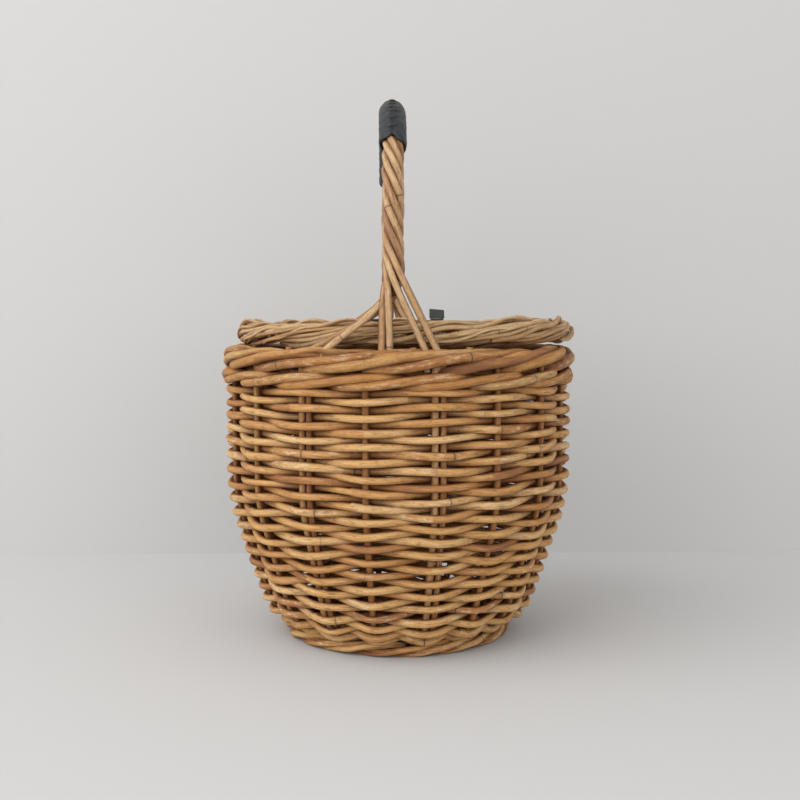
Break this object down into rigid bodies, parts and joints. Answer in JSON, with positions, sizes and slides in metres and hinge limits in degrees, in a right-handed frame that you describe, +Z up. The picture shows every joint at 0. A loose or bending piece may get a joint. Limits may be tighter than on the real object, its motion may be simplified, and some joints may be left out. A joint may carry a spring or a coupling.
{
  "type": "lidded wicker basket",
  "caption": "Round woven wicker basket, wider at the top, with a hinged woven lid and a twisted bow handle sheathed in leather over its crown.",
  "frame": {"origin": "middle of the plane the foot ring rests on", "axes": "+Z up, the handle's bow stands parallel to the YZ plane, the lid hinges at +Y and lifts at -Y, +X to the right seen from -Y"},
  "size_m": [0.251, 0.2524, 0.3769],
  "materials": {
    "wall_wicker": "peeled brown wicker rods, semi-matt, varied tone",
    "border_wicker": "peeled reddish-brown wicker rods, semi-matt",
    "stake_wicker": "peeled brown wicker rods, semi-matt",
    "handle_wicker": "peeled brown wicker rods twisted to a rope, semi-matt",
    "lid_wicker": "paler straw-coloured wicker rods, semi-matt",
    "sleeve_leather": "black leather, fine wrinkles, slight sheen",
    "strap_leather": "very dark green-black leather, slight sheen",
    "lacing": "waxed dark thread"
  },
  "bodies": {
    "basket": {"base_stick_1": "stake_wicker", "base_stick_2": "stake_wicker", "base_stick_3": "stake_wicker", "base_stick_4": "stake_wicker", "base_stick_5": "stake_wicker", "base_stick_6": "stake_wicker", "base_stick_7": "stake_wicker", "base_stick_8": "stake_wicker", "base_stick_9": "stake_wicker", "base_weave": "wall_wicker", "foot_border": "border_wicker", "handle_core": "handle_wicker", "handle_sleeve": "sleeve_leather", "handle_strand_1": "handle_wicker", "handle_strand_2": "handle_wicker", "handle_strand_3": "handle_wicker", "handle_strand_4": "handle_wicker", "handle_strand_5": "handle_wicker", "handle_strand_6": "handle_wicker", "hinge_strap_rim_left": "strap_leather", "hinge_strap_rim_right": "strap_leather", "rim_border": "border_wicker", "side_stake_01": "stake_wicker", "side_stake_02": "stake_wicker", "side_stake_03": "stake_wicker", "side_stake_04": "stake_wicker", "side_stake_05": "stake_wicker", "side_stake_06": "stake_wicker", "side_stake_07": "stake_wicker", "side_stake_08": "stake_wicker", "side_stake_09": "stake_wicker", "side_stake_10": "stake_wicker", "side_stake_11": "stake_wicker", "side_stake_12": "stake_wicker", "side_stake_13": "stake_wicker", "side_stake_14": "stake_wicker", "side_stake_15": "stake_wicker", "side_stake_16": "stake_wicker", "side_stake_17": "stake_wicker", "side_stake_18": "stake_wicker", "side_weave": "wall_wicker", "sleeve_lacing": "lacing", "top_wale": "border_wicker", "upsett_wale": "border_wicker"},
    "lid": {"hinge_strap_lid_left": "strap_leather", "hinge_strap_lid_right": "strap_leather", "lid_border": "lid_wicker", "lid_stick_1": "lid_wicker", "lid_stick_2": "lid_wicker", "lid_stick_3": "lid_wicker", "lid_stick_4": "lid_wicker", "lid_stick_5": "lid_wicker", "lid_stick_6": "lid_wicker", "lid_stick_7": "lid_wicker", "lid_stick_8": "lid_wicker", "lid_stick_9": "lid_wicker", "lid_weave": "lid_wicker"}
  },
  "joints": [
    {"name": "lid_hinge", "type": "hinge", "parent": "basket", "child": "lid", "pos_m": [0, 0.10919, 0.2241], "axis": [-1, 0, 0], "range_deg": [0, 32]}
  ]
}
